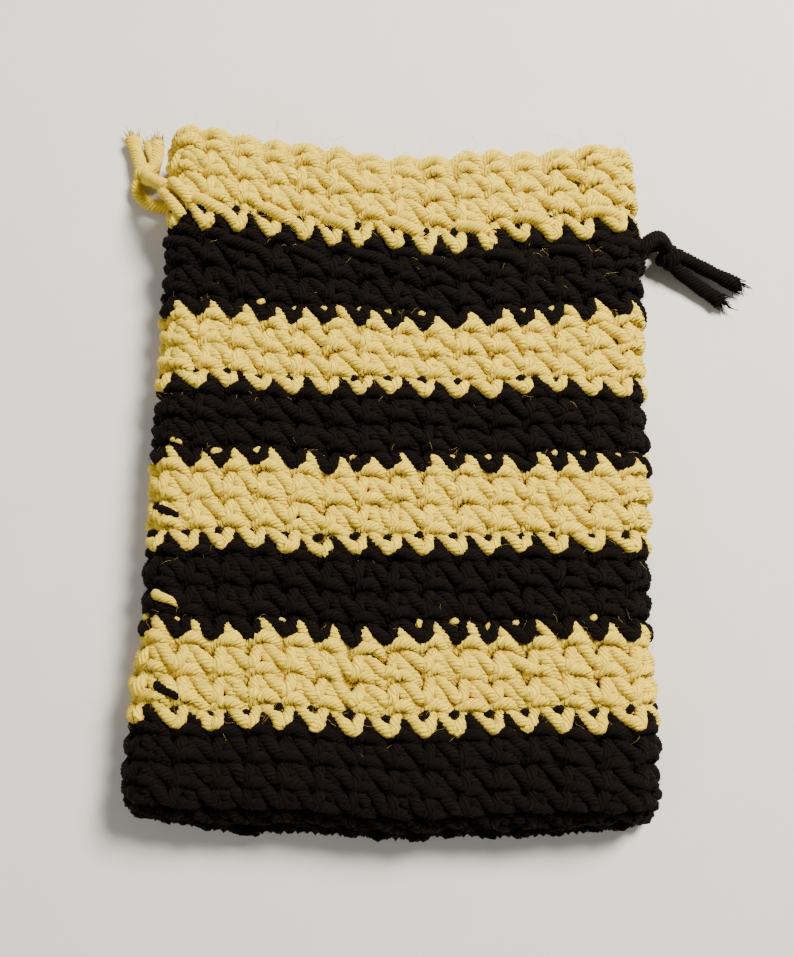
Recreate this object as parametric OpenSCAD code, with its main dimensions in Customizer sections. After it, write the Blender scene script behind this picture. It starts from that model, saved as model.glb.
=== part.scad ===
// Crocheted drawstring dice bag, lying flat on its back with its mouth towards +Y.
// Every third round changes colour, so the tube is a stack of eight stripes on a sloping base.
// Two drawstrings run round the top: yellow pulls out at the left, black at the right.
// Millimetres. The origin is under the middle of the bag, on the surface that it lies on.

/* [Bag] */
// Width of the flat bag, over its two side folds
bag_w = 105; // [80:0.5:150]
// Thickness of the flat bag, over both walls
bag_t = 15; // [14:0.5:22]
// Thickness of the crocheted wall
wall_t = 4.5; // [4.2:0.1:5]

/* [Stripes] */
// Height of the black stripe next to the base
foot_stripe_h = 12.3; // [8:0.1:20]
// Height of each of the six middle stripes
stripe_h = 16.7; // [14:0.1:22]
// Height of the yellow stripe at the mouth, at its middle
mouth_stripe_h = 19; // [15:0.1:26]
// How far the middle of the mouth dips below its corners
mouth_sag = 8; // [4:0.5:12]

/* [Base] */
// How far the base runs on under the bag from the front's lower edge
base_run = 9.4; // [5:0.1:16]
// Thickness of the base along the front's lower edge
base_lip = 1.5; // [1:0.1:4]

/* [Drawstrings] */
// Diameter of the drawstring yarn
cord_d = 2.6; // [2:0.1:2.9]
// Free space all round a drawstring in its channel
cord_play = 0.3; // [0.2:0.05:0.4]
// How far past the middle the sliding part of a drawstring reaches
inner_reach = 12; // [6:1:20]
// Height of the yellow channel's underside above the lower edge of the mouth stripe
yellow_lift = 2.9; // [1.9:0.1:6.4]
// How much more the yellow channel climbs than that edge, from the middle to the fold where it leaves
yellow_rise = 6; // [2:0.5:6]
// Depth of the black channel's top below the upper edge of its stripe
black_drop = 2; // [1.8:0.1:4.4]
// How much more the black channel climbs than that edge, from the middle to the fold where it leaves
black_rise = 1; // [-3:0.5:1]
// How much less both channels climb than that edge, from the middle to the other fold
held_short = 1; // [-1:0.5:3]
// Diameter of each knot
knot_d = 5.8; // [5:0.1:8]

/* [Yarn joins] */
// Diameter of a crossing strand at a colour change
join_d = 2; // [1.2:0.1:2.4]
// Height of a crossing strand above the edge where the colour changes
join_up = 3.6; // [2:0.1:6]
// How much of a crossing strand stands proud of the fold
join_proud = 0.6; // [0.2:0.1:1]

/* [Hidden] */

$fn = 64;
yellow = [0.95, 0.87, 0.52];
black = [0.09, 0.08, 0.08];

// The bag's outline
half_w = bag_w / 2;
fold_r = bag_t / 2;
fold_x = half_w - fold_r;
mid_r = (bag_t - wall_t) / 2;
front_z = bag_t - wall_t / 2;
back_z = wall_t / 2;
middle_stripes = 6;
mouth_edge = 8;
last_straight_edge = 4;
bag_len = base_run + base_lip + foot_stripe_h + middle_stripes * stripe_h
    + mouth_stripe_h + mouth_sag;
foot_y = -bag_len / 2 + base_run + base_lip;

// How far a wall runs on before a sagging edge cuts it
cut_past = 2;

// Drawstring clearances
bore_d = cord_d + 2 * cord_play;
end_gap = 0.3;
web = 1;
straight_rings = 9;
tube_sides = 8;

// Edges between stripes, counted from 0 at the base to 8 at the mouth
function middle_edge_y(edge) = foot_y + foot_stripe_h + (edge - 1) * stripe_h;
function edge_y(edge) =
    edge == 0 ? foot_y :
    edge == mouth_edge ? middle_edge_y(edge - 1) + mouth_stripe_h :
    middle_edge_y(edge);
function edge_sag(edge) =
    mouth_sag * max(0, edge - last_straight_edge) / (mouth_edge - last_straight_edge);
function sag_radius(sag) = (half_w * half_w + sag * sag) / (2 * sag);

// A channel follows a row that climbs from the middle to the folds. Its sliding part is straight,
// from inner_reach beyond the middle to the fold that it leaves at.
function row_y(middle_y, rise, x) = middle_y + rise * pow(x / half_w, 2);
function chord_slope(rise, x1, x2) = rise * (x1 + x2) / (half_w * half_w);
function chord_drop(rise, x1, x2) = rise * pow((x2 - x1) / bag_w, 2) / 2;
function channel_y(middle_y, rise, x) =
    row_y(middle_y, rise, x) - chord_drop(rise, -inner_reach, half_w);
function pull_angle(rise) = atan(chord_slope(rise, -inner_reach, half_w));
function held_angle() = atan(chord_slope(held_climb, inner_reach, fold_x));

// Both channels follow the edge between the black stripe and the mouth stripe
edge_climb = edge_sag(mouth_edge - 1);
yellow_climb = edge_climb + yellow_rise;
black_climb = edge_climb + black_rise;
held_climb = edge_climb - held_short;
yellow_y = edge_y(mouth_edge - 1) + yellow_lift + bore_d / 2;
black_y = edge_y(mouth_edge - 1) - black_drop - bore_d / 2;

// Free parts of the drawstrings, drawn for a bag that they leave at the right:
// distance out from the side fold, height above the exit, height above the surface
yellow_front_free = [
    [-1, -0.1, 0], [1.2, 0.9, 12.3], [3.1, 2.2, 10.8], [4.9, 3.9, 8.6], [6.1, 5.6, 6.4], [6.8, 6.9, 4.9]
];
yellow_back_free = [
    [-1, -0.1, 0], [1.8, 0.3, 2.0], [4.8, 0.8, 1.8], [7.8, 2.0, 1.7], [9.4, 4.4, 2.0], [9.1, 6.5, 2.7]
];
yellow_knot_at = [7.2, 7.9, 3.4];
yellow_outer_tail = [[8.6, 9.2, 3.2], [9.6, 12.2, 2.5], [10.8, 15.3, 1.9], [11.9, 18.2, 1.6]];
yellow_inner_tail = [[5.9, 9.2, 3.2], [5.6, 12.0, 2.5], [5.6, 14.8, 1.9], [5.8, 17.4, 1.6]];
black_front_free = [
    [-1, -0.1, 0], [1.2, 1.6, 12.4], [3.2, 3.0, 11.0], [5.0, 3.6, 8.9], [6.4, 3.3, 6.7], [7.4, 2.5, 4.9]
];
black_back_free = [
    [-1, -0.1, 0], [1.6, 2.1, 2.1], [3.6, 4.6, 2.0], [5.9, 5.3, 2.2], [7.5, 3.9, 2.9]
];
black_knot_at = [8.2, 1.7, 3.6];
black_upper_tail = [
    [9.7, 2.2, 3.4], [12.7, 1.5, 2.6], [16.5, -0.2, 2.0], [20.4, -2.1, 1.7], [24.2, -4.0, 1.6]
];
black_lower_tail = [
    [9.3, -0.4, 3.2], [11.7, -2.2, 2.5], [14.4, -4.1, 2.0], [17.3, -6.1, 1.7], [20.3, -8.1, 1.6]
];

// Bag

// Closed outline of the flat tube, a distance in from its outside
module tube_outline(inset) {
    square([2 * fold_x, bag_t - 2 * inset], center = true);
    for (side = [-1, 1])
        translate([side * fold_x, 0])
            circle(r = fold_r - inset);
}

// Wall of the flat tube between two heights along the bag
module tube_wall(low_y, high_y) {
    translate([0, high_y, fold_r])
        rotate([90, 0, 0])
            linear_extrude(height = high_y - low_y)
                difference() {
                    tube_outline(0);
                    tube_outline(wall_t);
                }
}

// Everything on the mouth's side of a sagging edge
module above_edge(edge) {
    sag = edge_sag(edge);
    radius = sag_radius(sag);
    translate([0, edge_y(edge) + radius, -1])
        cylinder(r = radius, h = bag_t + 2, $fn = 200);
}

// One stripe of three rounds; the first is next to the base
module stripe(number) {
    low_edge = number - 1;
    low_past = edge_sag(low_edge) > 0 ? cut_past : 0;
    high_past = edge_sag(number) > 0 ? cut_past : 0;
    difference() {
        intersection() {
            tube_wall(edge_y(low_edge) - low_past, edge_y(number) + edge_sag(number) + high_past);
            if (edge_sag(low_edge) > 0)
                above_edge(low_edge);
            else
                translate([-bag_w, -bag_len, -1])
                    cube([2 * bag_w, 2 * bag_len, bag_t + 2]);
        }
        if (edge_sag(number) > 0)
            above_edge(number);
        if (number > 1)
            crossing_strand(number - 1);
    }
}

// The base folds under: it slopes from the front's lower edge to the back edge on the surface
module base() {
    slope_h = bag_t;
    difference() {
        translate([0, foot_y, fold_r])
            rotate([90, 0, 0])
                linear_extrude(height = base_run + base_lip)
                    tube_outline(0);
        translate([-bag_w, foot_y - base_lip, slope_h])
            rotate([atan2(slope_h, base_run), 0, 0])
                translate([0, -bag_len, 0])
                    cube([2 * bag_w, bag_len, bag_t]);
    }
}

// Strand of the old colour that crosses the left fold just above a colour change
module crossing_strand(edge) {
    start_angle = 104;
    sweep_angle = 38;
    fold_share = pow(fold_x / half_w, 2);
    translate([-fold_x, edge_y(edge) + edge_sag(edge) * fold_share + join_up, fold_r])
        rotate([90, 0, 0])
            rotate([0, 0, start_angle])
                rotate_extrude(angle = sweep_angle)
                    translate([fold_r + join_proud - join_d / 2, 0])
                        circle(d = join_d, $fn = 32);
}

// Drawstrings, each drawn as if it leaves the bag at the right

// Cylinder of the drawstring's line, from one place along it to another
module straight_cord(diameter, from_x, to_x, height) {
    translate([from_x, 0, height])
        rotate([0, 90, 0])
            cylinder(d = diameter, h = to_x - from_x);
}

// The two straight channels that the sliding strands run in
module pull_bores(middle_y, rise) {
    translate([-inner_reach, channel_y(middle_y, rise, -inner_reach), 0])
        rotate([0, 0, pull_angle(rise)])
            for (height = [back_z, front_z])
                straight_cord(bore_d, -end_gap, bag_w, height);
}

// The part that stays in the wall: out to the far fold at the left, round it and back
module held_loop(middle_y, rise) {
    run = (fold_x - inner_reach) / cos(held_angle());
    translate([-inner_reach, channel_y(middle_y, rise, -inner_reach), 0])
        rotate([0, 0, -held_angle()]) {
            for (height = [back_z, front_z])
                straight_cord(cord_d, -run, -web, height);
            translate([-run, 0, fold_r])
                rotate([90, 0, 0])
                    rotate([0, 0, 90])
                        rotate_extrude(angle = 180)
                            translate([mid_r, 0])
                                circle(d = cord_d, $fn = 32);
        }
}

// Where the free part's points lie: out from the fold, up from the exit, above the surface
function free_point(middle_y, rise, point) = [
    half_w + point.x, channel_y(middle_y, rise, half_w) + point.y, point.z
];
function free_points(middle_y, rise, points) = [
    for (point = points) free_point(middle_y, rise, point)
];

// Straight run in the wall, then the free points; the first free point is still on the line
function strand_route(middle_y, rise, height, points) =
    let (
        start = [-inner_reach, channel_y(middle_y, rise, -inner_reach), height],
        along = [cos(pull_angle(rise)), sin(pull_angle(rise)), 0],
        length = (half_w + points[0].x + inner_reach) / cos(pull_angle(rise))
    )
    concat(
        [for (ring = [0 : straight_rings]) start + along * length * ring / straight_rings],
        free_points(middle_y, rise, [for (i = [1 : len(points) - 1]) points[i]])
    );

function unit(vector) = vector / norm(vector);
function route_direction(route, i) =
    unit(route[min(i + 1, len(route) - 1)] - route[max(i - 1, 0)]);
function ring_points(centre, direction) =
    let (
        side = unit(cross(direction, [0, 0, 1])),
        up = cross(side, direction)
    )
    [
        for (k = [0 : tube_sides - 1])
            let (angle = 360 * k / tube_sides)
            centre + cord_d / 2 * (cos(angle) * side + sin(angle) * up)
    ];

// Closed tube of the drawstring's diameter along a route
module cord_tube(route) {
    rings = len(route);
    points = [for (i = [0 : rings - 1]) each ring_points(route[i], route_direction(route, i))];
    walls = [
        for (i = [0 : rings - 2], k = [0 : tube_sides - 1])
            let (
                next = (k + 1) % tube_sides,
                near = i * tube_sides,
                far = near + tube_sides
            )
            [near + k, far + k, far + next, near + next]
    ];
    first_cap = [for (k = [0 : tube_sides - 1]) k];
    last_cap = [for (k = [0 : tube_sides - 1]) rings * tube_sides - 1 - k];
    polyhedron(points = points, faces = concat(walls, [first_cap, last_cap]), convexity = 6);
}

module knot(middle_y, rise, place) {
    translate(free_point(middle_y, rise, place))
        sphere(d = knot_d);
}

module at_left() {
    mirror([1, 0, 0])
        children();
}

// Nodes

module foot_stripe_black() {
    color(black)
        stripe(1);
}

module stripe_2_yellow() {
    color(yellow)
        stripe(2);
}

module stripe_3_black() {
    color(black)
        stripe(3);
}

module stripe_4_yellow() {
    color(yellow)
        stripe(4);
}

module stripe_5_black() {
    color(black)
        stripe(5);
}

module stripe_6_yellow() {
    color(yellow)
        stripe(6);
}

module stripe_7_black() {
    color(black)
        difference() {
            stripe(7);
            pull_bores(black_y, black_climb);
            held_loop(black_y, black_climb);
        }
}

module mouth_stripe_yellow() {
    color(yellow)
        difference() {
            stripe(8);
            at_left() {
                pull_bores(yellow_y, yellow_climb);
                held_loop(yellow_y, yellow_climb);
            }
        }
}

module base_black() {
    color(black)
        base();
}

// Odd colour changes end a black stripe, even ones a yellow stripe
module yarn_join(edge) {
    color(edge % 2 == 1 ? black : yellow)
        crossing_strand(edge);
}

module yellow_drawstring_held() {
    color(yellow)
        at_left()
            held_loop(yellow_y, yellow_climb);
}

module black_drawstring_held() {
    color(black)
        held_loop(black_y, black_climb);
}

module yellow_strand(height, points) {
    color(yellow)
        at_left()
            cord_tube(strand_route(yellow_y, yellow_climb, height, points));
}

module yellow_tail(points) {
    color(yellow)
        at_left()
            cord_tube(free_points(yellow_y, yellow_climb, points));
}

module yellow_knot() {
    color(yellow)
        at_left()
            knot(yellow_y, yellow_climb, yellow_knot_at);
}

module black_strand(height, points) {
    color(black)
        cord_tube(strand_route(black_y, black_climb, height, points));
}

module black_tail(points) {
    color(black)
        cord_tube(free_points(black_y, black_climb, points));
}

module black_knot() {
    color(black)
        knot(black_y, black_climb, black_knot_at);
}

foot_stripe_black();
stripe_2_yellow();
stripe_3_black();
stripe_4_yellow();
stripe_5_black();
stripe_6_yellow();
stripe_7_black();
mouth_stripe_yellow();
base_black();
yarn_join(1);  // yarn_join_1
yarn_join(2);  // yarn_join_2
yarn_join(3);  // yarn_join_3
yarn_join(4);  // yarn_join_4
yarn_join(5);  // yarn_join_5
yarn_join(6);  // yarn_join_6
yarn_join(7);  // yarn_join_7
yellow_drawstring_held();
black_drawstring_held();
yellow_strand(front_z, yellow_front_free);  // yellow_strand_front
yellow_strand(back_z, yellow_back_free);  // yellow_strand_back
yellow_knot();
yellow_tail(yellow_outer_tail);  // yellow_tail_outer
yellow_tail(yellow_inner_tail);  // yellow_tail_inner
black_strand(front_z, black_front_free);  // black_strand_front
black_strand(back_z, black_back_free);  // black_strand_back
black_knot();
black_tail(black_upper_tail);  // black_tail_upper
black_tail(black_lower_tail);  // black_tail_lower
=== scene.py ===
"""Looks of the crocheted drawstring dice bag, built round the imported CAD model.

Every round of single crochet is one piece made of swept, plied yarn, laid on the flat tube that
the CAD stripes give. Lengths are millimetres until a mesh is written, and metres from then on.
"""
import math
from collections import namedtuple

import bpy
import numpy as np
from mathutils import Matrix, Vector


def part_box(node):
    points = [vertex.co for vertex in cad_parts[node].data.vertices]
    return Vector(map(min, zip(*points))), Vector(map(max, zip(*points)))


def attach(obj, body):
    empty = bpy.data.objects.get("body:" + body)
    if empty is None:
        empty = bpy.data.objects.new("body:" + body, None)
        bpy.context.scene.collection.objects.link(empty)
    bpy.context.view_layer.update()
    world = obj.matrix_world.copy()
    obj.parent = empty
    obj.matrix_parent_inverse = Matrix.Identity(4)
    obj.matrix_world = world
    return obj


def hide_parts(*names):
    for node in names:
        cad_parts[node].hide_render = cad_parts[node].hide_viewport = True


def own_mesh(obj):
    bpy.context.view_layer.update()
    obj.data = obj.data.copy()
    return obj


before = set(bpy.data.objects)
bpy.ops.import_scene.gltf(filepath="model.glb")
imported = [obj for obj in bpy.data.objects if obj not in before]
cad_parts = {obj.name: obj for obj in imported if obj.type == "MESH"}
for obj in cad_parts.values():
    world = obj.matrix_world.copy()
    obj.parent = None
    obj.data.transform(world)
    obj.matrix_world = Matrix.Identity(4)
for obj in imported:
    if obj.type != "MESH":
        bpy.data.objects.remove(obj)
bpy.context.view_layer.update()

MM = 0.001
random = np.random.default_rng(31)


def box_mm(node):
    """Lowest and highest corner of a CAD node, in millimetres."""
    low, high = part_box(node)
    return np.array(low) / MM, np.array(high) / MM


# Sizes read from the CAD model's parts
foot_low, foot_high = box_mm("foot_stripe_black")
half_width = foot_high[0]
thickness = foot_high[2]
foot_y = foot_low[1]
back_edge_y = box_mm("base_black")[0][1]

# The flat tube's middle surface
WALL = 4.5
FOLD_X = half_width - thickness / 2
MID_RADIUS = (thickness - WALL) / 2
STITCHES = 31
ROUNDS_PER_STRIPE = 3
FLAT = 2 * FOLD_X
HALF_TURN = math.pi * MID_RADIUS
PERIMETER = 2 * (FLAT + HALF_TURN)
PITCH = PERIMETER / STITCHES
FIRST_STITCH_X = 0.7

# Stripes from the base to the mouth: name of the CAD node, colour, height of one of its rounds
STRIPES = [
    ("foot_stripe_black", "black", 4.9),
    ("stripe_2_yellow", "yellow", 5.8),
    ("stripe_3_black", "black", 5.9),
    ("stripe_4_yellow", "yellow", 5.75),
    ("stripe_5_black", "black", 5.4),
    ("stripe_6_yellow", "yellow", 4.9),
    ("stripe_7_black", "black", 5.8),
    ("mouth_stripe_yellow", "yellow", 5.6),
]
ROUNDS = ROUNDS_PER_STRIPE * len(STRIPES)
LEFT_FOLD = (PERIMETER - FOLD_X - FIRST_STITCH_X) / PITCH
FIRST_ROUND_UP = 0.6
DRAWSTRING_ROOM = 2.6
BASE_ROUNDS = 3
BASE_EDGE = 2.4
BASE_STEP = (foot_y - back_edge_y - BASE_EDGE) / BASE_ROUNDS

# How far a round climbs from the middle to each fold, at a few rounds
SAG_ROUNDS = (0, 3, 11, 15, 18, 21, 24)
SAG_LEFT = (0.9, 0.8, 0.8, 1.4, 2.8, 5.7, 7.0)
SAG_RIGHT = (0.8, 1.9, 1.0, 1.8, 4.3, 5.0, 3.4)

# The mouth's corners dip, its top rounds lean to the left, and the base's corners lift
MOUTH_CORNER_DIP = 2.0
MOUTH_LEAN = 1.5
LEAN_FROM_ROUND = 20
BASE_CORNER_LIFT = 4.0

# How far the left fold spreads at the base, and the round where that ends
LEFT_SPREAD = 1.6
SPREAD_TO_ROUND = 6
SPREAD_ROUNDS = 8

# Thickness left at the base's crease, and how round the tube at least stays
CREASE = 3.2
CREASE_ROUNDS = BASE_ROUNDS - 0.4
LEAST_RADIUS = 0.5

# Yarn: the plies stand out by a share of the radius, and one of them goes round in a twist length
YARN_RADIUS = 1.26
PLIES = 6
PLY_DEPTH = 0.075
SIDES = 18
TWIST_LENGTH = 5.2
RING_STEP = 0.6
FLOOR_SOFTNESS = 0.3

# Height above the wall's middle where yarn gets no painted shade, and how far below that it gets the
# full painted shade
SURFACE_HEIGHT = 2.5
CREVICE_BELOW = 3.2
CREVICE_CURVE = 1.3

# How narrow each round would get when the drawstrings are pulled, at a few rounds; only whether it
# narrows at all is read
GATHER_ROUNDS = (2, 12, 18, 21, 24)
GATHER_KEEP = (1.0, 0.78, 0.52, 0.43, 0.5)


# Surface of the bag


def round_lines():
    """Height along the bag of each round's row of caps."""
    lines = []
    y = foot_y + FIRST_ROUND_UP
    for number, (_, _, step) in enumerate(STRIPES):
        for turn in range(ROUNDS_PER_STRIPE):
            if lines:
                y += step
            if number == len(STRIPES) - 1 and turn == 0:
                y += DRAWSTRING_ROOM
            lines.append(y)
    return np.array(lines)


LINES = round_lines()
TOP_STEP = STRIPES[-1][2]


def line_y(t):
    """Height along the bag of a place between rounds; rounds below 0 are on the base."""
    whole = np.arange(ROUNDS + 2)
    heights = np.concatenate([LINES, LINES[-1] + TOP_STEP * np.arange(1, 3)])
    up = np.interp(t, whole, heights)
    return np.where(t < 0, LINES[0] + t * BASE_STEP, up)


def bag_height(t):
    """Thickness of the flat bag; it tapers to the crease over the base's rounds."""
    share = np.clip((t + BASE_ROUNDS) / CREASE_ROUNDS, 0, 1)
    return CREASE + (thickness - CREASE) * np.sin(share * math.pi / 2) ** 0.9


class Waves:
    """Smooth irregularity: a few sine waves over stitches and rounds."""

    def __init__(self, size, count=7):
        self.around = random.integers(1, 9, count)
        self.along = random.uniform(-0.9, 0.9, count)
        self.phase = random.uniform(0, 2 * math.pi, count)
        self.size = size / math.sqrt(count)

    def __call__(self, s, t):
        total = 0
        for around, along, phase in zip(self.around, self.along, self.phase):
            total = total + np.sin(2 * math.pi * around * s / STITCHES + along * t + phase)
        return self.size * total


wave_x = Waves(0.45)
wave_y = Waves(0.5)
wave_out = Waves(0.35)


def middle_surface(s, t):
    """Point of the wall's middle surface at stitch s and round t."""
    travel = (s * PITCH + FOLD_X + FIRST_STITCH_X + wave_x(s, t)) % PERIMETER
    radius = np.maximum((bag_height(t) - WALL) / 2, LEAST_RADIUS)
    centre_z = np.maximum(bag_height(t) / 2, WALL / 2 + LEAST_RADIUS)
    right = travel - FLAT
    back = right - HALF_TURN
    left = back - FLAT
    angle = np.where(back > 0, left, right) / MID_RADIUS
    on_right = (right > 0) & (back <= 0)
    on_left = left > 0
    on_back = (back > 0) & ~on_left
    x = np.where(on_back, FOLD_X - back, -FOLD_X + np.minimum(travel, FLAT))
    x = np.where(on_right, FOLD_X + MID_RADIUS * np.sin(angle), x)
    x = np.where(on_left, -FOLD_X - MID_RADIUS * np.sin(angle), x)
    z = np.where(on_back, -radius, radius)
    z = np.where(on_right, radius * np.cos(angle), z)
    z = np.where(on_left, -radius * np.cos(angle), z)
    left_sag = np.interp(t, SAG_ROUNDS, SAG_LEFT)
    right_sag = np.interp(t, SAG_ROUNDS, SAG_RIGHT)
    sag = np.where(x < 0, left_sag, right_sag) * np.minimum(np.abs(x) / FOLD_X, 1) ** 2
    past_fold = np.maximum(np.abs(x) - FOLD_X, 0) / MID_RADIUS
    in_mouth = np.clip((t - ROUNDS + ROUNDS_PER_STRIPE) / ROUNDS_PER_STRIPE, 0, 1)
    sag = sag - MOUTH_CORNER_DIP * in_mouth * past_fold**2
    sag = sag + BASE_CORNER_LIFT * np.clip(-t / BASE_ROUNDS, 0, 1) * (np.abs(x) / half_width) ** 8
    y = line_y(t) + sag + wave_y(s, t)
    near_base = np.clip((SPREAD_TO_ROUND - t) / SPREAD_ROUNDS, 0, 1)
    spread = LEFT_SPREAD * (near_base * np.clip(-x / half_width, 0, 1) ** 4)
    lean = MOUTH_LEAN * np.clip((t - LEAN_FROM_ROUND) / (ROUNDS - LEAN_FROM_ROUND), 0, 1)
    return np.stack([x - spread - lean, y, z + centre_z], -1)


def outward(s, t):
    """Unit normal of the middle surface, away from the bag's inside."""
    step = 0.02
    across = middle_surface(s + step, t) - middle_surface(s - step, t)
    along = middle_surface(s, t + step) - middle_surface(s, t - step)
    normal = np.cross(across, along)
    return normal / np.linalg.norm(normal, axis=-1, keepdims=True)


def bag_point(s, t, w):
    """Point at stitch s, round t and a height w outside the middle surface, and its normal."""
    normal = outward(s, t)
    return middle_surface(s, t) + normal * (w + wave_out(s, t))[..., None], normal


# Swept yarn


def spline(points, rings):
    """Catmull-Rom curves through points of shape (strands, points, 3), with that many rings."""
    first = 2 * points[:, :1] - points[:, 1:2]
    last = 2 * points[:, -1:] - points[:, -2:-1]
    padded = np.concatenate([first, points, last], 1)
    place = np.linspace(0, points.shape[1] - 1, rings)
    index = np.minimum(place.astype(int), points.shape[1] - 2)
    f = (place - index)[None, :, None]
    a, b, c, d = (padded[:, index + k] for k in range(4))
    return 0.5 * (2 * b + (c - a) * f + (2 * a - 5 * b + 4 * c - d) * f**2
                  + (3 * b - a - 3 * c + d) * f**3)


def unit(v):
    return v / np.maximum(np.linalg.norm(v, axis=-1, keepdims=True), 1e-9)


def sweep(centres, first_normal, radius, sides=SIDES, depth=PLY_DEPTH, closed=False):
    """Rings of a twisted, lobed tube along each centre line: (strands, rings, sides, 3), and the
    distance along each line."""
    strands, rings, _ = centres.shape
    if closed:
        tangent = unit(np.roll(centres, -1, 1) - np.roll(centres, 1, 1))
    else:
        tangent = unit(np.gradient(centres, axis=1))
    steps = np.linalg.norm(np.diff(centres, axis=1), axis=2)
    along = np.concatenate([np.zeros((strands, 1)), np.cumsum(steps, 1)], 1)
    if first_normal.ndim == 3:
        normal = first_normal - (first_normal * tangent).sum(-1, keepdims=True) * tangent
        normal = unit(normal)
    else:
        normal = np.empty_like(centres)
        now = first_normal
        for i in range(rings):
            now = unit(now - (now * tangent[:, i]).sum(-1, keepdims=True) * tangent[:, i])
            normal[:, i] = now
    side = np.cross(tangent, normal)
    phase = random.uniform(0, 2 * math.pi, strands)
    around = np.arange(sides) / sides * 2 * math.pi
    turns = -along / TWIST_LENGTH * 2 * math.pi
    if closed:
        whole = np.round(along[:, -1:] / TWIST_LENGTH)
        turns = -np.arange(rings)[None] / rings * whole * 2 * math.pi
    angle = around[None, None] + turns[..., None] + phase[:, None, None]
    lobes = 1 + depth * np.cos(PLIES * around)[None, None]
    size = (np.broadcast_to(radius, (strands, rings))[..., None] * lobes)[..., None]
    offset = np.cos(angle)[..., None] * normal[:, :, None] + np.sin(angle)[..., None] * side[:, :, None]
    return centres[:, :, None] + size * offset, along


def settle(points):
    """Yarn flattens where it lies on the surface, and none of it goes below."""
    points[..., 2] = FLOOR_SOFTNESS * np.logaddexp(0, points[..., 2] / FLOOR_SOFTNESS)
    return points


# Each strand has a cell of its own in the bake layer: the share of the cell that is used, the
# share of that for the strand's side, and the place and size of its two end caps
CELL_WIDE, CELL_TALL = 0.96, 0.94
SIDE_SHARE = 0.9
CAP_LEFT, CAP_FEET = 0.95, (0.25, 0.75)
CAP_WIDE, CAP_TALL = 0.03, 0.1


def side_faces(strands, count, sides, base, closed):
    """Vertices of the quads between each ring and the next; base is the first strand's first."""
    strand = np.arange(strands)[:, None, None] * count * sides + base
    ring = np.arange(count if closed else count - 1)[None, :, None]
    side = np.arange(sides)[None, None]
    after = (ring + 1) % count
    beside = (side + 1) % sides
    return np.stack([
        strand + ring * sides + side,
        strand + ring * sides + beside,
        strand + after * sides + beside,
        strand + after * sides + side,
    ], -1).reshape(-1, 4)


def cap_faces(strands, count, sides, base):
    """Vertices of the start cap and the end cap of each strand."""
    first = np.arange(strands)[:, None] * count * sides + base
    start_cap = first + np.arange(sides)[::-1][None]
    end_cap = first + (count - 1) * sides + np.arange(sides)[None]
    return np.stack([start_cap, end_cap], 1).reshape(-1, sides)


def side_uv(left, right, low, high):
    """UV of the corners of the quads, in the order of side_faces."""
    left, right, low, high = np.broadcast_arrays(left, right, low, high)
    return np.stack([left, low, right, low, right, high, left, high], -1).reshape(-1, 2)


def write_mesh(name, verts, faces, uvs, attributes):
    """A smooth mesh from lists of arrays; the vertices come in millimetres."""
    verts = settle(np.concatenate(verts)) * MM
    corners = np.concatenate([part.reshape(-1) for part in faces]).astype(np.int32)
    sizes = np.concatenate([np.full(len(part), part.shape[1]) for part in faces])
    starts = np.concatenate([[0], np.cumsum(sizes)[:-1]]).astype(np.int32)
    mesh = bpy.data.meshes.new(name)
    mesh.vertices.add(len(verts))
    mesh.vertices.foreach_set("co", verts.astype(np.float32).ravel())
    mesh.loops.add(len(corners))
    mesh.loops.foreach_set("vertex_index", corners)
    mesh.polygons.add(len(starts))
    mesh.polygons.foreach_set("loop_start", starts)
    mesh.update(calc_edges=True)
    mesh.polygons.foreach_set("use_smooth", np.ones(len(starts), bool))
    for title, values in uvs.items():
        layer = mesh.uv_layers.new(name=title)
        layer.data.foreach_set("uv", np.concatenate(values).astype(np.float32).ravel())
    for title, values in attributes.items():
        layer = mesh.attributes.new(title, "FLOAT", "POINT")
        layer.data.foreach_set("value", np.concatenate(values).astype(np.float32))
    mesh.update()
    return mesh


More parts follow.
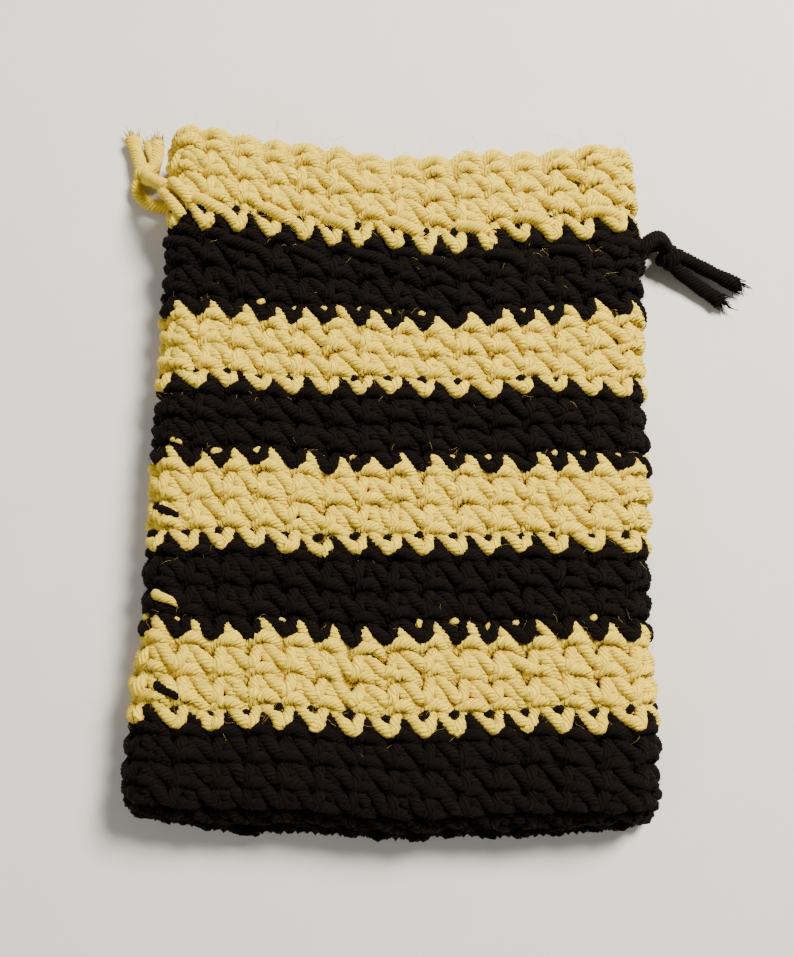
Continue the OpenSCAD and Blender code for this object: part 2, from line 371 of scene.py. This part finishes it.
class Yarn:
    """Collects swept tubes for one mesh."""

    def __init__(self):
        self.parts = []

    def add(self, rings, along, painted_shade, closed=False):
        """The third argument is the share of painted shade: 0 for yarn at the surface and 1 for yarn at
        the bottom of the stitches' crevices.
        """
        tone = random.uniform(0, 1, rings.shape[0])
        self.parts.append((rings, along, painted_shade, tone, closed))

    def mesh(self, name):
        """One mesh, with a bake layer, a layer that follows the yarn, and the painted shade share and
        tone.
        """
        verts, faces, yarn_uv, bake_uv, painted_shades, tones = [], [], [], [], [], []
        cells = sum(rings.shape[0] for rings, *_ in self.parts)
        columns = max(1, math.ceil(math.sqrt(cells / 4)))
        lines = math.ceil(cells / columns)
        wide = CELL_WIDE / columns
        tall = CELL_TALL / lines
        cell = 0
        base = 0
        for rings, along, painted_shade, tone, closed in self.parts:
            strands, count, sides, _ = rings.shape
            verts.append(rings.reshape(-1, 3))
            painted_shades.append(np.broadcast_to(painted_shade, (strands, count, sides)).reshape(-1))
            tones.append(np.repeat(tone, count * sides))
            faces.append(side_faces(strands, count, sides, base, closed))
            if closed:
                end = along[:, -1:] + (along[:, -1:] - along[:, -2:-1])
                along = np.concatenate([along, end], 1)
            number = cell + np.arange(strands)
            left = (number % columns / columns)[:, None, None]
            foot = (number // columns / lines)[:, None, None]
            u0 = np.arange(sides)[None, None] / sides
            u1 = u0 + 1 / sides
            spans = count if closed else count - 1
            ring = np.arange(spans)[None, :, None]
            yarn_uv.append(side_uv(u0, u1, along[:, :spans, None], along[:, 1:spans + 1, None]))
            bake_uv.append(side_uv(
                left + u0 * wide * SIDE_SHARE, left + u1 * wide * SIDE_SHARE,
                foot + ring / spans * tall, foot + (ring + 1) / spans * tall))
            if not closed:
                faces.append(cap_faces(strands, count, sides, base))
                angle = np.arange(sides) / sides * 2 * math.pi
                disc = np.stack([np.cos(angle), np.sin(angle)], -1)
                cap_uv = np.broadcast_to(0.5 + 0.4 * disc, (strands, 2, sides, 2))
                yarn_uv.append(cap_uv.reshape(-1, 2))
                spot = np.zeros((strands, 2, sides, 2))
                spot[..., 0] = left + wide * CAP_LEFT
                spot[..., 1] = foot + np.array(CAP_FEET)[None, :, None] * tall
                spot += disc[None, None] * np.array([wide * CAP_WIDE, tall * CAP_TALL])
                bake_uv.append(spot.reshape(-1, 2))
            cell += strands
            base += strands * count * sides
        return write_mesh(name, verts, faces, {"OFBake": bake_uv, "yarn": yarn_uv},
                          {"painted_shade": painted_shades, "tone": tones})


def make_piece(name, yarn, material):
    piece = bpy.data.objects.new(name, yarn.mesh(name))
    bpy.context.scene.collection.objects.link(piece)
    piece.data.materials.append(material)
    return piece


# Materials


def node(tree, kind, **values):
    made = tree.nodes.new(kind)
    for key, value in values.items():
        setattr(made, key, value)
    return made


def math_node(tree, operation, a, b=None):
    made = node(tree, "ShaderNodeMath", operation=operation)
    for slot, value in enumerate((a, b)):
        if value is None:
            continue
        if isinstance(value, (int, float)):
            made.inputs[slot].default_value = value
        else:
            tree.links.new(value, made.inputs[slot])
    return made.outputs[0]


def mix_colour(tree, share, a, b):
    made = node(tree, "ShaderNodeMix", data_type="RGBA")
    tree.links.new(share, made.inputs[0])
    for slot, value in ((6, a), (7, b)):
        if isinstance(value, tuple):
            made.inputs[slot].default_value = (*value, 1)
        else:
            tree.links.new(value, made.inputs[slot])
    return made.outputs[2]


def noise(tree, vector, scale, detail=2.0, roughness=0.5):
    made = node(tree, "ShaderNodeTexNoise")
    made.inputs["Scale"].default_value = scale
    made.inputs["Detail"].default_value = detail
    made.inputs["Roughness"].default_value = roughness
    tree.links.new(vector, made.inputs["Vector"])
    return made.outputs["Fac"]


def ramp(tree, value, low, high):
    made = node(tree, "ShaderNodeMapRange")
    made.inputs["From Min"].default_value = low
    made.inputs["From Max"].default_value = high
    tree.links.new(value, made.inputs["Value"])
    return made.outputs["Result"]


# Yarn's surface: how slowly the fibres change along it, in turns per millimetre, how far apart two
# strands' fibres are taken, how much painted shade darkens the grooves and how much they dent it, and
# metres of bump and scatter
FIBRE_RUN = 0.10
STRAND_APART = 40.0
GROOVE_SHADE = 0.30
GROOVE_DENT = 0.35
PATCH_SHADE = 0.45
BUMP_HEIGHT = 0.0006
SCATTER_DEPTH = 0.0012


def yarn_material(name, light, body, crevice_shade, sheen, sheen_tint, scatter, specular=0.25):
    """Plied yarn: fine fibre streaks along each ply, with painted shade in the grooves between plies
    and low in the stitches.
    """
    material = bpy.data.materials.new(name)
    material.use_nodes = True
    tree = material.node_tree
    shader = tree.nodes["Principled BSDF"]
    uv = node(tree, "ShaderNodeUVMap", uv_map="yarn")
    parts = node(tree, "ShaderNodeSeparateXYZ")
    tree.links.new(uv.outputs[0], parts.inputs[0])
    turn = math_node(tree, "MULTIPLY", parts.outputs[0], 2 * math.pi)
    tone = node(tree, "ShaderNodeAttribute", attribute_name="tone").outputs["Fac"]
    painted_shade = node(tree, "ShaderNodeAttribute", attribute_name="painted_shade").outputs["Fac"]
    wrapped = node(tree, "ShaderNodeCombineXYZ")
    tree.links.new(math_node(tree, "COSINE", turn), wrapped.inputs[0])
    tree.links.new(math_node(tree, "SINE", turn), wrapped.inputs[1])
    run = math_node(tree, "MULTIPLY", parts.outputs[1], FIBRE_RUN)
    shifted = math_node(tree, "ADD", run, math_node(tree, "MULTIPLY", tone, STRAND_APART))
    tree.links.new(shifted, wrapped.inputs[2])
    fibres = noise(tree, wrapped.outputs[0], 4.2, 3.0, 0.65)
    strands = noise(tree, wrapped.outputs[0], 1.3, 2.0)
    # The groove between two plies is where the tube's lobes meet; it gets painted shade and a dent
    lobe = math_node(tree, "COSINE", math_node(tree, "MULTIPLY", turn, float(PLIES)))
    groove = ramp(tree, lobe, 0.2, -1.0)
    fine = ramp(tree, fibres, 0.40, 0.60)
    surface = mix_colour(tree, fine, body, light)
    patch = math_node(tree, "MULTIPLY", ramp(tree, strands, 0.45, 0.75), PATCH_SHADE)
    surface = mix_colour(tree, patch, surface, body)
    # Painted shade: the grooves and the yarn low in the stitches are mixed towards the darker shade
    # colour
    shade_mask = math_node(tree, "MAXIMUM", math_node(tree, "MULTIPLY", groove, GROOVE_SHADE), painted_shade)
    colour = mix_colour(tree, shade_mask, surface, crevice_shade)
    tree.links.new(colour, shader.inputs["Base Color"])
    shader.inputs["Roughness"].default_value = 0.85
    shader.inputs["Specular IOR Level"].default_value = specular
    shader.inputs["Sheen Weight"].default_value = sheen
    shader.inputs["Sheen Roughness"].default_value = 0.5
    shader.inputs["Sheen Tint"].default_value = (*sheen_tint, 1)
    if scatter:
        shader.inputs["Subsurface Weight"].default_value = scatter
        shader.inputs["Subsurface Radius"].default_value = (1.0, 0.75, 0.25)
        shader.inputs["Subsurface Scale"].default_value = SCATTER_DEPTH
    bump = node(tree, "ShaderNodeBump")
    bump.inputs["Strength"].default_value = 1.0
    bump.inputs["Distance"].default_value = BUMP_HEIGHT
    height = math_node(tree, "SUBTRACT", fibres, math_node(tree, "MULTIPLY", groove, GROOVE_DENT))
    tree.links.new(height, bump.inputs["Height"])
    tree.links.new(bump.outputs[0], shader.inputs["Normal"])
    return material


def plain_material(name, colour, roughness):
    material = bpy.data.materials.new(name)
    material.use_nodes = True
    shader = material.node_tree.nodes["Principled BSDF"]
    tree = material.node_tree
    where = node(tree, "ShaderNodeTexCoord").outputs["Object"]
    grain = noise(tree, where, 60.0, 4.0)
    shade = tuple(0.94 * c for c in colour)
    tree.links.new(mix_colour(tree, grain, shade, colour), shader.inputs["Base Color"])
    shader.inputs["Roughness"].default_value = roughness
    return material


# The darker third colour of each yarn is painted shade for the grooves and the yarn low in the stitches
yellow_yarn = yarn_material(
    "yellow_yarn", light=(1.0, 0.80, 0.065), body=(0.96, 0.64, 0.022), crevice_shade=(0.82, 0.52, 0.022),
    sheen=0.05, sheen_tint=(1.0, 0.86, 0.40), scatter=0.12)
black_yarn = yarn_material(
    "black_yarn", light=(0.0056, 0.0028, 0.0018), body=(0.0018, 0.0009, 0.0006),
    crevice_shade=(0.0007, 0.0004, 0.0003), sheen=0.015, sheen_tint=(0.6, 0.42, 0.32), scatter=0.0,
    specular=0.09)
YARNS = {"yellow": yellow_yarn, "black": black_yarn}


# Camera first, then the cords


def make_camera():
    """The viewing angle: nearly overhead, leaning a little towards the mouth, turned 1 degree."""
    data = bpy.data.cameras.new("camera")
    data.lens = 36
    data.sensor_width = 36
    camera = bpy.data.objects.new("camera", data)
    bpy.context.scene.collection.objects.link(camera)
    forward = Vector((0, 0.1977, -0.9803))
    look = forward.to_track_quat("-Z", "Y").to_matrix()
    roll = Matrix.Rotation(math.radians(1.0), 3, "Z")
    camera.matrix_world = Matrix.Translation(Vector((-0.5, -41.5, 207.1)) * MM) @ (look @ roll).to_4x4()
    bpy.context.scene.camera = camera


make_camera()

# Drawstring yarn
CORD_RADIUS = 1.42
CORD_PLY_DEPTH = 0.10
CORD_STEP = 0.6
TAIL_RADIUS = 1.5
BRANCH_RADIUS = 0.9
KNOT_WRAP_RADIUS = 1.15
KNOT_STRAND_RADIUS = 1.2
INNER_REACH = 12.0
FRONT_Z = thickness - WALL / 2
BACK_Z = WALL / 2

# The drawstrings' routes. inner_y and exit_y are where the sliding part starts in the wall and
# where it leaves the fold, along the bag. The points are the CAD source's, drawn as if the cord
# leaves at the right: out from the side fold, up from the exit, above the surface
PULLS = {
    "yellow": {
        "side": -1, "inner_y": 51.06, "exit_y": 62.44,
        "front": [(-1, -0.1, 0), (1.2, 0.9, 12.3), (3.1, 2.2, 10.8), (4.9, 3.9, 8.6),
                  (6.1, 5.6, 6.4), (6.8, 6.9, 4.9)],
        "back": [(-1, -0.1, 0), (1.8, 0.3, 2.0), (4.8, 0.8, 1.8), (7.8, 2.0, 1.7),
                 (9.4, 4.4, 2.0), (9.1, 6.5, 2.7)],
        "knot": (7.2, 7.9, 3.4),
        "tails": {
            "yellow_tail_outer": [(8.6, 9.2, 3.2), (9.6, 12.2, 2.5), (10.8, 15.3, 1.9),
                                  (11.9, 18.2, 1.6)],
            "yellow_tail_inner": [(5.9, 9.2, 3.2), (5.6, 12.0, 2.5), (5.6, 14.8, 1.9),
                                  (5.8, 17.4, 1.6)],
        },
    },
    "black": {
        "side": 1, "inner_y": 43.65, "exit_y": 50.28,
        "front": [(-1, -0.1, 0), (1.2, 1.6, 12.4), (3.2, 3.0, 11.0), (5.0, 3.6, 8.9),
                  (6.4, 3.3, 6.7), (7.4, 2.5, 4.9)],
        "back": [(-1, -0.1, 0), (1.6, 2.1, 2.1), (3.6, 4.6, 2.0), (5.9, 5.3, 2.2),
                 (7.5, 3.9, 2.9)],
        "knot": (8.2, 1.7, 3.6),
        "tails": {
            "black_tail_upper": [(9.7, 2.2, 3.4), (12.7, 1.5, 2.6), (16.5, -0.2, 2.0),
                                 (20.4, -2.1, 1.7), (24.2, -4.0, 1.6)],
            "black_tail_lower": [(9.3, -0.4, 3.2), (11.7, -2.2, 2.5), (14.4, -4.1, 2.0),
                                 (17.3, -6.1, 1.7), (20.3, -8.1, 1.6)],
        },
    },
}

# A tail whose plies part at the end: the shorter branch
SPLIT_ENDS = {"yellow_tail_inner": [(5.7, 10.6, 3.0), (6.9, 13.4, 2.8), (8.1, 16.6, 2.2)]}
STRAIGHT_RINGS = 9


def placed(pull, points):
    """Free points of a pull, in the bag's own millimetres."""
    return [(pull["side"] * (half_width + out), pull["exit_y"] + up, z) for out, up, z in points]


def strand_route(pull, which):
    """Straight run in the wall, then the free points."""
    height = FRONT_Z if which == "front" else BACK_Z
    inner = np.array([-pull["side"] * INNER_REACH, pull["inner_y"], height])
    last = np.array(placed(pull, pull[which])[0])
    last[2] = height
    straight = [inner + (last - inner) * k / STRAIGHT_RINGS for k in range(STRAIGHT_RINGS + 1)]
    return np.array(straight + placed(pull, pull[which][1:]))


def smooth_line(points, step):
    """Points about a step apart on the smooth curve through the given ones."""
    points = np.array(points, float)
    length = np.linalg.norm(np.diff(points, axis=0), axis=1).sum()
    fine = spline(points[None], max(8, int(length * 6)))[0]
    travel = np.concatenate([[0], np.cumsum(np.linalg.norm(np.diff(fine, axis=0), axis=1))])
    even = np.linspace(0, travel[-1], max(4, round(travel[-1] / step)))
    return np.stack([np.interp(even, travel, fine[:, k]) for k in range(3)], -1)


def cord_tube(yarn, points, radius=CORD_RADIUS, flare=0.0):
    """One drawstring yarn along points; flare opens its cut end."""
    buried_end = 0.35
    cut_end_share = 0.55
    line = smooth_line(points, CORD_STEP)
    count = len(line)
    share = np.linspace(0, 1, count)
    size = radius * (1 + flare * np.clip((share - 0.6) / 0.4, 0, 1) ** 2)
    wobble = 1 + 0.04 * np.sin(share * count * 0.7 + random.uniform(0, 6))
    ends = np.ones(count)
    ends[0] = buried_end
    ends[-1] = cut_end_share if flare else buried_end
    rings, along = sweep(line[None], np.array([[0.0, 0.0, 1.0]]), (size * wobble * ends)[None],
                         depth=CORD_PLY_DEPTH)
    yarn.add(rings, along, 0.0)
    return line


def cut_end(yarn, end, direction, radius, threads=60):
    """Loose fibres that start 1 mm inside a cut end and spread from it."""
    longest = 2.6
    stray = 0.25
    ring_sizes = np.linspace(0.20, 0.07, 6)
    starts = end - direction + random.normal(0, radius * 0.42, (threads, 3))
    spread = unit(direction[None] + random.normal(0, stray, (threads, 3)))
    reach = longest * random.uniform(0.5, 1.0, (threads, 1))
    points = np.stack([starts, starts + spread * reach * 0.5,
                       starts + spread * reach + random.normal(0, stray, (threads, 3))], 1)
    points[..., 2] = np.maximum(points[..., 2], 0.15)
    lines = spline(points, len(ring_sizes))
    rings, along = sweep(lines, np.tile([[0.1, 0.2, 1.0]], (threads, 1)), ring_sizes[None],
                         sides=4, depth=0)
    # A little painted shade on the loose fibres
    yarn.add(rings, along, 0.1)


def knot_yarn(centre, axis, side):
    """Overhand knot: the two strands run through while one of them wraps round both."""
    yarn = Yarn()
    axis = unit(axis)
    across = unit(np.cross(axis, [0, 0, 1.0]))
    up = np.cross(across, axis)
    turns = np.linspace(-0.25, 1.45, 40) * 2 * math.pi * side
    run = np.linspace(-1.7, 1.6, 40)
    loop_radius = 1.85
    loop_height = 0.85
    wrap = (centre + run[:, None] * axis + loop_radius
            * (np.cos(turns)[:, None] * across + loop_height * np.sin(turns)[:, None] * up))
    cord_tube(yarn, wrap, radius=KNOT_WRAP_RADIUS)
    lean = 0.9 * across
    for way in (1, -1):
        through = [centre - 2.6 * axis - way * lean, centre - 0.8 * axis + way * 0.4 * up,
                   centre + 0.9 * axis + way * 0.3 * up, centre + 2.5 * axis + way * lean]
        cord_tube(yarn, through, radius=KNOT_STRAND_RADIUS)
    return yarn


def make_pull(colour):
    """Knot, two cut tails and the two strands that slide out of the wall."""
    pull = PULLS[colour]
    body = colour + "_pull"
    material = YARNS[colour]
    centre = np.array(placed(pull, [pull["knot"]])[0])
    tails = []
    ends = []
    for name, points in pull["tails"].items():
        route = placed(pull, points)
        yarn = Yarn()
        start = centre + (np.array(route[0]) - centre) * 0.3
        line = cord_tube(yarn, [start, *route], flare=0.25, radius=TAIL_RADIUS)
        cut_end(yarn, line[-1], unit(line[-1] - line[-4]), TAIL_RADIUS)
        if name in SPLIT_ENDS:
            branch = cord_tube(yarn, placed(pull, SPLIT_ENDS[name]), flare=0.2, radius=BRANCH_RADIUS)
            cut_end(yarn, branch[-1], unit(branch[-1] - branch[-4]), BRANCH_RADIUS, threads=25)
        piece = make_piece(name + "_yarn", yarn, material)
        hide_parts(name)
        tails.append(piece)
        ends.append(line[-1])
    axis = (ends[0] + ends[1]) / 2 - centre
    axis[2] = 0.0
    knot = make_piece(colour + "_knot_yarn", knot_yarn(centre, axis, pull["side"]), material)
    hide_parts(colour + "_knot")
    for piece in [knot, *tails]:
        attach(piece, body)
    for which in ("front", "back"):
        yarn = Yarn()
        route = strand_route(pull, which)
        into_knot = centre + (route[-1] - centre) * 0.35
        line = cord_tube(yarn, [*route, into_knot])
        name = f"{colour}_strand_{which}"
        piece = make_piece(name + "_yarn", yarn, material)
        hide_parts(name)
        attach(piece, body)


make_pull("yellow")
make_pull("black")


# Crochet stitches, wrong side out. A strand has its length in millimetres, and points in stitches
# across, rounds up and millimetres out from the middle of the wall
Strand = namedtuple("Strand", "length points")
CAP = Strand(9.0, [
    (-0.58, -0.38, -1.0), (-0.47, -0.20, -0.2), (-0.27, 0.02, 1.1), (0.03, 0.11, 1.9),
    (0.29, 0.01, 1.35), (0.48, -0.21, 0.0), (0.58, -0.38, -1.0)])
LEGS = Strand(13.5, [
    (-0.04, 0.00, -0.7), (0.11, -0.19, 0.6), (0.30, -0.41, 1.3), (0.46, -0.58, 1.75),
    (0.58, -0.71, 1.85), (0.67, -0.77, 1.7), (0.75, -0.73, 1.8), (0.79, -0.60, 1.7),
    (0.83, -0.41, 1.2), (0.89, -0.19, 0.4), (0.96, 0.04, -0.7)])
SPIKE = Strand(7.5, [
    (-0.12, 0.68, -0.5), (-0.02, 0.55, 0.85), (0.13, 0.38, 1.3), (0.32, 0.16, 1.1),
    (0.46, -0.08, 0.45), (0.50, -0.30, -0.7)])
PEEP = Strand(4.0, [(0.43, 0.58, 0.3), (0.53, 0.67, 1.85), (0.63, 0.76, 0.3)])
INNER_V = Strand(10.0, [
    (-0.40, 0.42, -1.0), (-0.26, 0.16, -1.75), (-0.04, -0.34, -1.3), (0.02, -0.46, -0.8),
    (0.08, -0.34, -1.3), (0.28, 0.16, -1.75), (0.42, 0.42, -1.0)])
RIM_OUTER = Strand(9.5, [
    (-0.62, 0.18, -0.4), (-0.42, 0.40, 0.5), (-0.12, 0.60, 1.0), (0.20, 0.58, 0.7),
    (0.48, 0.40, 0.0), (0.62, 0.20, -0.6)])
RIM_INNER = Strand(9.5, [
    (-0.60, 0.20, 0.2), (-0.38, 0.42, -0.6), (-0.05, 0.60, -1.1), (0.26, 0.55, -0.9),
    (0.50, 0.38, -0.3), (0.62, 0.18, 0.3)])

# Strands of the mouth's first round that cross over the drawstring where it leaves the left fold
OVER_CORD = [
    Strand(11.0, [
        (-1.02, 0.50, 0.4), (-0.88, 0.34, 2.9), (-0.70, 0.06, 4.3), (-0.52, -0.24, 3.6),
        (-0.38, -0.50, 2.4), (-0.26, -0.72, 1.4)]),
    Strand(11.0, [
        (-0.76, 0.62, 0.8), (-0.56, 0.52, 2.6), (-0.34, 0.24, 3.3), (-0.16, -0.06, 2.4),
        (-0.08, -0.30, 0.6)]),
]

# Where the old colour peeps through the new colour's first round: share of the stitches, radius
PEEPS = {"black": (0.95, 0.80), "yellow": (0.72, 0.60)}

# How much each point, and each whole strand, strays from the shape: stitches, rounds, millimetres
POINT_JITTER = (0.022, 0.028, 0.10)
STRAND_JITTER = (0.03, 0.035, 0.14)

# Each round's two core yarns: rounds up from its row of caps
CORES_UP = (0.22, -0.26)


def strands_of(yarn, strand, t, stitches, radius=YARN_RADIUS, sides=SIDES, jitter=1.0,
               ring_step=RING_STEP, inner=False):
    """One strand of a stitch at each of the given stitches of round t."""
    shape = np.array(strand.points)
    count = len(stitches)
    points = np.broadcast_to(shape, (count, *shape.shape)).copy()
    points += random.normal(0, 1, points.shape) * np.array(POINT_JITTER) * jitter
    points += random.normal(0, 1, (count, 1, 3)) * np.array(STRAND_JITTER) * jitter
    rings = max(7, round(strand.length / ring_step))
    path = spline(points, rings)
    s = path[..., 0] + stitches[:, None]
    rise = path[..., 1] + t
    centres, normal = bag_point(s, rise, path[..., 2])
    size = radius * random.uniform(0.95, 1.06, (count, 1)) * np.ones((1, rings))
    size[:, [0, -1]] *= 0.6
    tubes, along = sweep(centres, normal[:, 0], size, sides=sides)
    # Painted shade: the lower the yarn lies in the stitches, the more it takes the darker shade colour
    height = path[..., 2][..., None] + ((tubes - centres[:, :, None]) * normal[:, :, None]).sum(-1)
    if inner:
        height = -height
    below = np.clip((SURFACE_HEIGHT - height) / CREVICE_BELOW, 0, 1)
    yarn.add(tubes, along, below**CREVICE_CURVE)


def ring_of(yarn, t, w, radius):
    """A closed core yarn all the way round the bag."""
    rings = 4 * STITCHES
    s = np.arange(rings) / rings * STITCHES
    wiggle = 0.35 * np.sin(2 * math.pi * s + t)
    centres, normal = bag_point(s[None], np.full((1, rings), float(t)), (w + wiggle)[None])
    tubes, along = sweep(centres, normal, radius, sides=8, depth=0.08, closed=True)
    # The core yarns sit low in the holes and get strong painted shade
    yarn.add(tubes, along, 0.9, closed=True)


# Loose fibres: radius, how high the four points of the highest ones stand, and how many there are
# on a round, on the round of the other colour next to a yellow stripe, and on the base
FUZZ_RADIUS = 0.03
FUZZ_HEIGHTS = (1.3, 2.6, 3.0, 2.2)
FUZZ_COUNT = 300
LINT_COUNT = 45
BASE_FUZZ_COUNT = 200


def fuzz(yarn, t, count, reach=3.4):
    """Loose fibres that stand off the yarn of one round."""
    s = random.uniform(0, STITCHES, count)
    rise = t + random.uniform(-0.6, 0.4, count)
    lowest = FUZZ_HEIGHTS[0]
    points = np.zeros((count, 4, 3))
    heading = random.uniform(0, 2 * math.pi, count)
    bend = heading + random.normal(0, 0.9, count)
    size = reach * random.uniform(0.4, 1.0, count)
    lift = random.uniform(0.3, 1.0, count)
    for k, height in enumerate(FUZZ_HEIGHTS):
        turn = heading if k < 2 else bend
        points[:, k, 0] = s + size * k / 3 * np.cos(turn) / PITCH
        points[:, k, 1] = rise + size * k / 3 * np.sin(turn) / TOP_STEP
        points[:, k, 2] = lowest + (height - lowest) * lift
    path = spline(points, 6)
    centres, normal = bag_point(path[..., 0], path[..., 1], path[..., 2])
    centres[..., 2] = np.maximum(centres[..., 2], 0.1)
    tubes, along = sweep(centres, normal[:, 0], np.full((count, 6), FUZZ_RADIUS), sides=3, depth=0)
    yarn.add(tubes, along, 0.0)


def make_round(t, node_name, colour):
    """One round of single crochet."""
    yarn = Yarn()
    everywhere = np.arange(STITCHES)
    last = t == ROUNDS - 1
    strands_of(yarn, CAP, t, everywhere)
    strands_of(yarn, LEGS, t, everywhere)
    strands_of(yarn, SPIKE, t, everywhere)
    strands_of(yarn, INNER_V, t, everywhere, sides=8, ring_step=1.3, inner=True)
    for up in CORES_UP:
        ring_of(yarn, t + up, -0.75, 1.25)
    if (t + 1) % ROUNDS_PER_STRIPE == 0 and not last:
        share, radius = PEEPS[colour]
        seen = everywhere[random.uniform(0, 1, STITCHES) < share]
        strands_of(yarn, PEEP, t, seen, radius=radius, sides=8, ring_step=0.5, jitter=1.6)
    if last:
        strands_of(yarn, RIM_OUTER, t, everywhere)
        strands_of(yarn, RIM_INNER, t, everywhere)
    if node_name == "mouth_stripe_yellow" and t % ROUNDS_PER_STRIPE == 0:
        for strand in OVER_CORD:
            strands_of(yarn, strand, t, np.array([LEFT_FOLD]))
    fuzz(yarn, t, FUZZ_COUNT)
    if colour == "yellow" and t % ROUNDS_PER_STRIPE != 1:
        beyond = -1.0 if t % ROUNDS_PER_STRIPE == 0 else 1.0
        fuzz(yarn, t + beyond, LINT_COUNT)
    piece = make_piece(f"round_{t + 1:02d}_{colour}", yarn, YARNS[colour])
    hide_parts(node_name)
    return piece


def gather(piece, t):
    """Gives a round that would narrow as the drawstrings are pulled its own copy of the mesh; it is not
    narrowed here.
    """
    keep = float(np.interp(t, GATHER_ROUNDS, GATHER_KEEP))
    if keep < 1:
        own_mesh(piece)


for t in range(ROUNDS):
    node_name, colour, _ = STRIPES[t // ROUNDS_PER_STRIPE]
    made = make_round(t, node_name, colour)
    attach(made, "root")
    gather(made, t)


def make_base():
    """The rounds that fold under and meet at the back edge."""
    yarn = Yarn()
    everywhere = np.arange(STITCHES)
    for k in range(BASE_ROUNDS):
        t = -1 - k
        strands_of(yarn, CAP, t, everywhere)
        strands_of(yarn, SPIKE, t, everywhere, ring_step=1.0)
        if k < BASE_ROUNDS - 1:
            strands_of(yarn, LEGS, t, everywhere, ring_step=1.0)
        for up in CORES_UP:
            ring_of(yarn, t + up, -0.6, 1.3)
    fuzz(yarn, -1.5, BASE_FUZZ_COUNT, reach=3.0)
    piece = make_piece("base_rounds_black", yarn, black_yarn)
    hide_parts("base_black")
    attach(piece, "root")


make_base()


# Drawstrings in the wall: half waves round the bag, and how far out the string goes over a stitch
# and how far in under the next
WEAVE_HALF_WAVES = 30
WEAVE_MIDDLE = 0.9
WEAVE_SWING = 1.55


def make_woven(colour, t_line, over_stitch):
    """The part of a drawstring that stays in the wall: over one stitch and under the next."""
    per_stitch = 9
    s = np.arange(STITCHES * per_stitch) / per_stitch
    turn = math.pi * (s - over_stitch) * WEAVE_HALF_WAVES / STITCHES
    w = WEAVE_MIDDLE + WEAVE_SWING * np.tanh(2.0 * np.cos(turn))
    rise = t_line - 0.10 * np.sin(turn)
    centres, normal = bag_point(s[None], rise[None], w[None])
    yarn = Yarn()
    tubes, along = sweep(centres, normal, CORD_RADIUS * 0.95, depth=CORD_PLY_DEPTH, closed=True)
    # Painted shade where the drawstring dips under the stitches
    yarn.add(tubes, along, np.clip((1.9 - w) / 4, 0, 1)[None, :, None], closed=True)
    piece = make_piece(colour + "_drawstring_woven", yarn, YARNS[colour])
    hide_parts(colour + "_drawstring_held")
    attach(piece, "root")
    gather(piece, t_line)


make_woven("yellow", 20.74, 0.0)
make_woven("black", 19.72, 1.0)


# Yarn joins at the left fold: each one's place from the fold and from its edge, in stitches and
# rounds, and its size
JOIN_PLACES = [(0.27, 0.15, 1.0), (-0.05, 0.32, 1.0), (-0.30, 0.37, 1.0), (-0.15, -0.05, 0.6),
               (-1.6, 0.0, 1.0), (-1.7, 0.0, 1.0), (-1.8, 0.0, 1.0)]
JOIN = [(-0.50, 0.28, 0.4), (-0.36, 0.20, 1.9), (-0.08, 0.06, 2.5), (0.20, -0.10, 2.1),
        (0.40, -0.24, 0.0)]
JOIN_RADII = (1.25, 0.5)
JOIN_RINGS = 20


def make_join(edge):
    """Old colour's strand that crosses the left fold just above a colour change."""
    around, up, scale = JOIN_PLACES[edge - 1]
    name = f"yarn_join_{edge}"
    colour = "black" if edge % 2 == 1 else "yellow"
    t = edge * ROUNDS_PER_STRIPE
    yarn = Yarn()
    path = spline(np.array(JOIN)[None] * (scale, scale, 1), JOIN_RINGS)
    centres, normal = bag_point(path[..., 0] + LEFT_FOLD + around, path[..., 1] + t + up, path[..., 2])
    size = np.linspace(*JOIN_RADII, JOIN_RINGS)[None] * scale
    tubes, along = sweep(centres, normal[:, 0], size)
    yarn.add(tubes, along, 0.0)
    piece = make_piece(name + "_yarn", yarn, YARNS[colour])
    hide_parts(name)
    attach(piece, "root")
    gather(piece, t)


for edge in range(1, len(STRIPES)):
    make_join(edge)


# Floor and light


def make_floor():
    size = 6.0
    mesh = bpy.data.meshes.new("floor")
    mesh.from_pydata([(-size, -size, 0), (size, -size, 0), (size, size, 0), (-size, size, 0)], [],
                     [(0, 1, 2, 3)])
    floor = bpy.data.objects.new("floor", mesh)
    bpy.context.scene.collection.objects.link(floor)
    mesh.materials.append(plain_material("floor_paper", (0.72, 0.70, 0.67), 0.9))


def make_light(name, place, size, power, colour=(1, 1, 1)):
    data = bpy.data.lights.new(name, "AREA")
    data.size = size
    data.energy = power
    data.color = colour
    light = bpy.data.objects.new(name, data)
    bpy.context.scene.collection.objects.link(light)
    light.location = place
    light.rotation_mode = "QUATERNION"
    light.rotation_quaternion = (-Vector(place)).to_track_quat("-Z", "Y")


def make_world(strength):
    world = bpy.data.worlds.new("studio")
    world.use_nodes = True
    background = world.node_tree.nodes["Background"]
    background.inputs["Color"].default_value = (1.0, 0.96, 0.90, 1)
    background.inputs["Strength"].default_value = strength
    bpy.context.scene.world = world


make_floor()
make_light("key", (0.32, 0.34, 0.55), 0.20, 16.0, (1.0, 0.95, 0.86))
make_light("fill", (-0.5, -0.3, 0.5), 0.6, 1.8, (1.0, 0.96, 0.91))
make_world(0.20)
